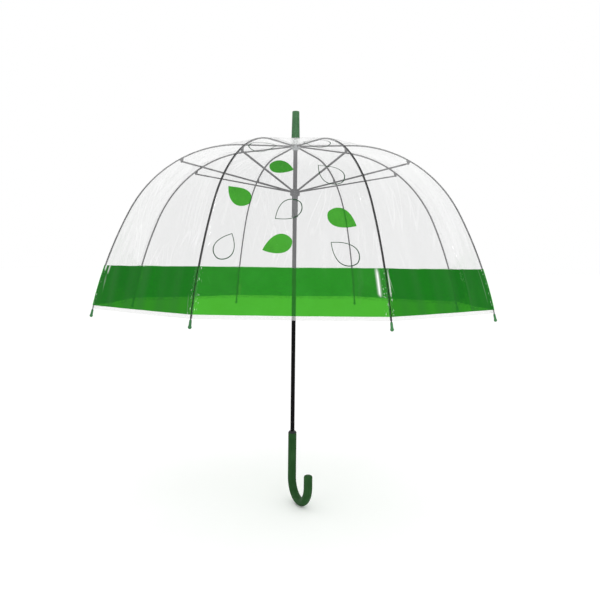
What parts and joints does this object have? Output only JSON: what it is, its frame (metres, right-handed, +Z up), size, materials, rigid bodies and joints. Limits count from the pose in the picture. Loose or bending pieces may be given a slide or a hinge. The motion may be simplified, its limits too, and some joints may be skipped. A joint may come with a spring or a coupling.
{
  "type": "clear dome umbrella",
  "caption": "Stick umbrella with a deep clear film dome, a green translucent hem band and leaf prints, green ferrule, rib tips and crook handle; ribs fold as the runner slides.",
  "frame": {"origin": "on the shaft's axis, in the middle of the straight part of the grip", "axes": "+Z up along the shaft towards the ferrule; -Y out of the middle of the front panel; +X to the right seen from the front"},
  "size_m": [0.7492, 0.7492, 0.7997],
  "materials": {
    "film": "clear flexible film, printed in translucent green",
    "ribs": "dark lacquered steel",
    "stretchers": "dark lacquered steel",
    "shaft": "black lacquer",
    "notches": "dark grey-green moulded plastic",
    "steel": "bright wire and spring steel",
    "ferrule": "green moulded plastic",
    "top_cap": "frosted translucent plastic",
    "tips": "green moulded plastic",
    "handle": "satin dark green plastic",
    "collar": "black plastic"
  },
  "bodies": {
    "shaft": {"shaft": "shaft", "ferrule": "ferrule", "top_cap": "top_cap", "crown": "notches", "crown_wire": "steel", "spring_pin": "steel", "handle": "handle", "handle_collar": "collar"},
    "rib_1": {"rib_1_inner": "ribs"},
    "rib_1_end": {"rib_1_outer": "ribs", "rib_tip_1": "tips"},
    "stretcher_1": {"stretcher_1": "stretchers"},
    "panel_1": {"canopy_panel_1_upper": "film"},
    "panel_1_skirt": {"canopy_panel_1_lower": "film"},
    "rib_2": {"rib_2_inner": "ribs"},
    "rib_2_end": {"rib_2_outer": "ribs", "rib_tip_2": "tips"},
    "stretcher_2": {"stretcher_2": "stretchers"},
    "panel_2": {"canopy_panel_2_upper": "film"},
    "panel_2_skirt": {"canopy_panel_2_lower": "film"},
    "rib_3": {"rib_3_inner": "ribs"},
    "rib_3_end": {"rib_3_outer": "ribs", "rib_tip_3": "tips"},
    "stretcher_3": {"stretcher_3": "stretchers"},
    "panel_3": {"canopy_panel_3_upper": "film"},
    "panel_3_skirt": {"canopy_panel_3_lower": "film"},
    "rib_4": {"rib_4_inner": "ribs"},
    "rib_4_end": {"rib_4_outer": "ribs", "rib_tip_4": "tips"},
    "stretcher_4": {"stretcher_4": "stretchers"},
    "panel_4": {"canopy_panel_4_upper": "film"},
    "panel_4_skirt": {"canopy_panel_4_lower": "film"},
    "rib_5": {"rib_5_inner": "ribs"},
    "rib_5_end": {"rib_5_outer": "ribs", "rib_tip_5": "tips"},
    "stretcher_5": {"stretcher_5": "stretchers"},
    "panel_5": {"canopy_panel_5_upper": "film"},
    "panel_5_skirt": {"canopy_panel_5_lower": "film"},
    "rib_6": {"rib_6_inner": "ribs"},
    "rib_6_end": {"rib_6_outer": "ribs", "rib_tip_6": "tips"},
    "stretcher_6": {"stretcher_6": "stretchers"},
    "panel_6": {"canopy_panel_6_upper": "film"},
    "panel_6_skirt": {"canopy_panel_6_lower": "film"},
    "rib_7": {"rib_7_inner": "ribs"},
    "rib_7_end": {"rib_7_outer": "ribs", "rib_tip_7": "tips"},
    "stretcher_7": {"stretcher_7": "stretchers"},
    "panel_7": {"canopy_panel_7_upper": "film"},
    "panel_7_skirt": {"canopy_panel_7_lower": "film"},
    "rib_8": {"rib_8_inner": "ribs"},
    "rib_8_end": {"rib_8_outer": "ribs", "rib_tip_8": "tips"},
    "stretcher_8": {"stretcher_8": "stretchers"},
    "panel_8": {"canopy_panel_8_upper": "film"},
    "panel_8_skirt": {"canopy_panel_8_lower": "film"},
    "runner": {"runner": "notches", "runner_wire": "steel"},
    "top_catch": {"top_catch": "steel"},
    "bottom_catch": {"bottom_catch": "steel"}
  },
  "joints": [
    {"name": "rib_1_fold", "type": "hinge", "parent": "shaft", "child": "rib_1", "pos_m": [0.00306, -0.00739, 0.6352], "axis": [0.9239, 0.3827, 0], "range_deg": [0, 74.52], "deforming": ["canopy_panel_1_upper", "canopy_panel_1_lower", "canopy_panel_2_upper", "canopy_panel_2_lower", "canopy_panel_3_upper", "canopy_panel_3_lower", "canopy_panel_4_upper", "canopy_panel_4_lower", "canopy_panel_5_upper", "canopy_panel_5_lower", "canopy_panel_6_upper", "canopy_panel_6_lower", "canopy_panel_7_upper", "canopy_panel_7_lower", "canopy_panel_8_upper", "canopy_panel_8_lower", "top_catch", "bottom_catch"]},
    {"name": "rib_1_flex", "type": "hinge", "parent": "rib_1", "child": "rib_1_end", "pos_m": [0.09438, -0.22786, 0.59021], "axis": [0.9239, 0.3827, 0], "range_deg": [-50, 0]},
    {"name": "stretcher_1_turn", "type": "hinge", "parent": "rib_1", "child": "stretcher_1", "pos_m": [0.09051, -0.2185, 0.5885], "axis": [0.9239, 0.3827, 0], "range_deg": [-150.04, 0]},
    {"name": "panel_1_fold", "type": "hinge", "parent": "shaft", "child": "panel_1", "pos_m": [0, -0.00739, 0.6352], "axis": [1, 0, 0], "range_deg": [0, 75.52]},
    {"name": "panel_1_flex", "type": "hinge", "parent": "panel_1", "child": "panel_1_skirt", "pos_m": [0, -0.22826, 0.59088], "axis": [1, 0, 0], "range_deg": [-50, 0]},
    {"name": "rib_2_fold", "type": "hinge", "parent": "shaft", "child": "rib_2", "pos_m": [0.00739, -0.00306, 0.6352], "axis": [0.3827, 0.9239, 0], "range_deg": [0, 75.52]},
    {"name": "rib_2_flex", "type": "hinge", "parent": "rib_2", "child": "rib_2_end", "pos_m": [0.22786, -0.09438, 0.59021], "axis": [0.3827, 0.9239, 0], "range_deg": [-50, 0]},
    {"name": "stretcher_2_turn", "type": "hinge", "parent": "rib_2", "child": "stretcher_2", "pos_m": [0.2185, -0.09051, 0.5885], "axis": [0.3827, 0.9239, 0], "range_deg": [-150.04, 0]},
    {"name": "panel_2_fold", "type": "hinge", "parent": "shaft", "child": "panel_2", "pos_m": [0.00523, -0.00523, 0.6352], "axis": [0.7071, 0.7071, 0], "range_deg": [0, 75.52]},
    {"name": "panel_2_flex", "type": "hinge", "parent": "panel_2", "child": "panel_2_skirt", "pos_m": [0.16141, -0.16141, 0.59088], "axis": [0.7071, 0.7071, 0], "range_deg": [-50, 0]},
    {"name": "rib_3_fold", "type": "hinge", "parent": "shaft", "child": "rib_3", "pos_m": [0.00739, 0.00306, 0.6352], "axis": [-0.3827, 0.9239, 0], "range_deg": [0, 75.52]},
    {"name": "rib_3_flex", "type": "hinge", "parent": "rib_3", "child": "rib_3_end", "pos_m": [0.22786, 0.09438, 0.59021], "axis": [-0.3827, 0.9239, 0], "range_deg": [-50, 0]},
    {"name": "stretcher_3_turn", "type": "hinge", "parent": "rib_3", "child": "stretcher_3", "pos_m": [0.2185, 0.09051, 0.5885], "axis": [-0.3827, 0.9239, 0], "range_deg": [-150.04, 0]},
    {"name": "panel_3_fold", "type": "hinge", "parent": "shaft", "child": "panel_3", "pos_m": [0.00739, 0, 0.6352], "axis": [0, 1, 0], "range_deg": [0, 75.52]},
    {"name": "panel_3_flex", "type": "hinge", "parent": "panel_3", "child": "panel_3_skirt", "pos_m": [0.22826, 0, 0.59088], "axis": [0, 1, 0], "range_deg": [-50, 0]},
    {"name": "rib_4_fold", "type": "hinge", "parent": "shaft", "child": "rib_4", "pos_m": [0.00306, 0.00739, 0.6352], "axis": [-0.9239, 0.3827, 0], "range_deg": [0, 75.52]},
    {"name": "rib_4_flex", "type": "hinge", "parent": "rib_4", "child": "rib_4_end", "pos_m": [0.09438, 0.22786, 0.59021], "axis": [-0.9239, 0.3827, 0], "range_deg": [-50, 0]},
    {"name": "stretcher_4_turn", "type": "hinge", "parent": "rib_4", "child": "stretcher_4", "pos_m": [0.09051, 0.2185, 0.5885], "axis": [-0.9239, 0.3827, 0], "range_deg": [-150.04, 0]},
    {"name": "panel_4_fold", "type": "hinge", "parent": "shaft", "child": "panel_4", "pos_m": [0.00523, 0.00523, 0.6352], "axis": [-0.7071, 0.7071, 0], "range_deg": [0, 75.52]},
    {"name": "panel_4_flex", "type": "hinge", "parent": "panel_4", "child": "panel_4_skirt", "pos_m": [0.16141, 0.16141, 0.59088], "axis": [-0.7071, 0.7071, 0], "range_deg": [-50, 0]},
    {"name": "rib_5_fold", "type": "hinge", "parent": "shaft", "child": "rib_5", "pos_m": [-0.00306, 0.00739, 0.6352], "axis": [-0.9239, -0.3827, 0], "range_deg": [0, 75.52]},
    {"name": "rib_5_flex", "type": "hinge", "parent": "rib_5", "child": "rib_5_end", "pos_m": [-0.09438, 0.22786, 0.59021], "axis": [-0.9239, -0.3827, 0], "range_deg": [-50, 0]},
    {"name": "stretcher_5_turn", "type": "hinge", "parent": "rib_5", "child": "stretcher_5", "pos_m": [-0.09051, 0.2185, 0.5885], "axis": [-0.9239, -0.3827, 0], "range_deg": [-150.04, 0]},
    {"name": "panel_5_fold", "type": "hinge", "parent": "shaft", "child": "panel_5", "pos_m": [0, 0.00739, 0.6352], "axis": [-1, 0, 0], "range_deg": [0, 75.52]},
    {"name": "panel_5_flex", "type": "hinge", "parent": "panel_5", "child": "panel_5_skirt", "pos_m": [0, 0.22826, 0.59088], "axis": [-1, 0, 0], "range_deg": [-50, 0]},
    {"name": "rib_6_fold", "type": "hinge", "parent": "shaft", "child": "rib_6", "pos_m": [-0.00739, 0.00306, 0.6352], "axis": [-0.3827, -0.9239, 0], "range_deg": [0, 75.52]},
    {"name": "rib_6_flex", "type": "hinge", "parent": "rib_6", "child": "rib_6_end", "pos_m": [-0.22786, 0.09438, 0.59021], "axis": [-0.3827, -0.9239, 0], "range_deg": [-50, 0]},
    {"name": "stretcher_6_turn", "type": "hinge", "parent": "rib_6", "child": "stretcher_6", "pos_m": [-0.2185, 0.09051, 0.5885], "axis": [-0.3827, -0.9239, 0], "range_deg": [-150.04, 0]},
    {"name": "panel_6_fold", "type": "hinge", "parent": "shaft", "child": "panel_6", "pos_m": [-0.00523, 0.00523, 0.6352], "axis": [-0.7071, -0.7071, 0], "range_deg": [0, 75.52]},
    {"name": "panel_6_flex", "type": "hinge", "parent": "panel_6", "child": "panel_6_skirt", "pos_m": [-0.16141, 0.16141, 0.59088], "axis": [-0.7071, -0.7071, 0], "range_deg": [-50, 0]},
    {"name": "rib_7_fold", "type": "hinge", "parent": "shaft", "child": "rib_7", "pos_m": [-0.00739, -0.00306, 0.6352], "axis": [0.3827, -0.9239, 0], "range_deg": [0, 75.52]},
    {"name": "rib_7_flex", "type": "hinge", "parent": "rib_7", "child": "rib_7_end", "pos_m": [-0.22786, -0.09438, 0.59021], "axis": [0.3827, -0.9239, 0], "range_deg": [-50, 0]},
    {"name": "stretcher_7_turn", "type": "hinge", "parent": "rib_7", "child": "stretcher_7", "pos_m": [-0.2185, -0.09051, 0.5885], "axis": [0.3827, -0.9239, 0], "range_deg": [-150.04, 0]},
    {"name": "panel_7_fold", "type": "hinge", "parent": "shaft", "child": "panel_7", "pos_m": [-0.00739, 0, 0.6352], "axis": [0, -1, 0], "range_deg": [0, 75.52]},
    {"name": "panel_7_flex", "type": "hinge", "parent": "panel_7", "child": "panel_7_skirt", "pos_m": [-0.22826, 0, 0.59088], "axis": [0, -1, 0], "range_deg": [-50, 0]},
    {"name": "rib_8_fold", "type": "hinge", "parent": "shaft", "child": "rib_8", "pos_m": [-0.00306, -0.00739, 0.6352], "axis": [0.9239, -0.3827, 0], "range_deg": [0, 75.52]},
    {"name": "rib_8_flex", "type": "hinge", "parent": "rib_8", "child": "rib_8_end", "pos_m": [-0.09438, -0.22786, 0.59021], "axis": [0.9239, -0.3827, 0], "range_deg": [-50, 0]},
    {"name": "stretcher_8_turn", "type": "hinge", "parent": "rib_8", "child": "stretcher_8", "pos_m": [-0.09051, -0.2185, 0.5885], "axis": [0.9239, -0.3827, 0], "range_deg": [-150.04, 0]},
    {"name": "panel_8_fold", "type": "hinge", "parent": "shaft", "child": "panel_8", "pos_m": [-0.00523, -0.00523, 0.6352], "axis": [0.7071, -0.7071, 0], "range_deg": [0, 75.52]},
    {"name": "panel_8_flex", "type": "hinge", "parent": "panel_8", "child": "panel_8_skirt", "pos_m": [-0.16141, -0.16141, 0.59088], "axis": [0.7071, -0.7071, 0], "range_deg": [-50, 0]},
    {"name": "runner_travel", "type": "hinge", "parent": "stretcher_1", "child": "runner", "pos_m": [0.00306, -0.00739, 0.5418], "axis": [0.9239, 0.3827, 0], "range_deg": [0, 75.52]},
    {"name": "top_catch_press", "type": "slide", "parent": "shaft", "child": "top_catch", "axis": [-1, 0, 0], "range_m": [0, 0.0027], "stiffness_N_per_m": 400, "springref_m": -0.002},
    {"name": "bottom_catch_press", "type": "slide", "parent": "shaft", "child": "bottom_catch", "axis": [0, -1, 0], "range_m": [0, 0.0027], "stiffness_N_per_m": 400, "springref_m": -0.002}
  ],
  "couplings": [
    {"joint": "rib_1_flex", "follows": "rib_1_fold", "ratio": -0.6575},
    {"joint": "stretcher_1_turn", "follows": "rib_1_fold", "ratio": -2},
    {"joint": "panel_1_fold", "follows": "rib_1_fold", "ratio": 1},
    {"joint": "panel_1_flex", "follows": "rib_1_fold", "ratio": -0.6575},
    {"joint": "rib_2_fold", "follows": "rib_1_fold", "ratio": 1},
    {"joint": "rib_2_flex", "follows": "rib_1_fold", "ratio": -0.6575},
    {"joint": "stretcher_2_turn", "follows": "rib_1_fold", "ratio": -2},
    {"joint": "panel_2_fold", "follows": "rib_1_fold", "ratio": 1},
    {"joint": "panel_2_flex", "follows": "rib_1_fold", "ratio": -0.6575},
    {"joint": "rib_3_fold", "follows": "rib_1_fold", "ratio": 1},
    {"joint": "rib_3_flex", "follows": "rib_1_fold", "ratio": -0.6575},
    {"joint": "stretcher_3_turn", "follows": "rib_1_fold", "ratio": -2},
    {"joint": "panel_3_fold", "follows": "rib_1_fold", "ratio": 1},
    {"joint": "panel_3_flex", "follows": "rib_1_fold", "ratio": -0.6575},
    {"joint": "rib_4_fold", "follows": "rib_1_fold", "ratio": 1},
    {"joint": "rib_4_flex", "follows": "rib_1_fold", "ratio": -0.6575},
    {"joint": "stretcher_4_turn", "follows": "rib_1_fold", "ratio": -2},
    {"joint": "panel_4_fold", "follows": "rib_1_fold", "ratio": 1},
    {"joint": "panel_4_flex", "follows": "rib_1_fold", "ratio": -0.6575},
    {"joint": "rib_5_fold", "follows": "rib_1_fold", "ratio": 1},
    {"joint": "rib_5_flex", "follows": "rib_1_fold", "ratio": -0.6575},
    {"joint": "stretcher_5_turn", "follows": "rib_1_fold", "ratio": -2},
    {"joint": "panel_5_fold", "follows": "rib_1_fold", "ratio": 1},
    {"joint": "panel_5_flex", "follows": "rib_1_fold", "ratio": -0.6575},
    {"joint": "rib_6_fold", "follows": "rib_1_fold", "ratio": 1},
    {"joint": "rib_6_flex", "follows": "rib_1_fold", "ratio": -0.6575},
    {"joint": "stretcher_6_turn", "follows": "rib_1_fold", "ratio": -2},
    {"joint": "panel_6_fold", "follows": "rib_1_fold", "ratio": 1},
    {"joint": "panel_6_flex", "follows": "rib_1_fold", "ratio": -0.6575},
    {"joint": "rib_7_fold", "follows": "rib_1_fold", "ratio": 1},
    {"joint": "rib_7_flex", "follows": "rib_1_fold", "ratio": -0.6575},
    {"joint": "stretcher_7_turn", "follows": "rib_1_fold", "ratio": -2},
    {"joint": "panel_7_fold", "follows": "rib_1_fold", "ratio": 1},
    {"joint": "panel_7_flex", "follows": "rib_1_fold", "ratio": -0.6575},
    {"joint": "rib_8_fold", "follows": "rib_1_fold", "ratio": 1},
    {"joint": "rib_8_flex", "follows": "rib_1_fold", "ratio": -0.6575},
    {"joint": "stretcher_8_turn", "follows": "rib_1_fold", "ratio": -2},
    {"joint": "panel_8_fold", "follows": "rib_1_fold", "ratio": 1},
    {"joint": "panel_8_flex", "follows": "rib_1_fold", "ratio": -0.6575},
    {"joint": "runner_travel", "follows": "rib_1_fold", "ratio": 1}
  ]
}
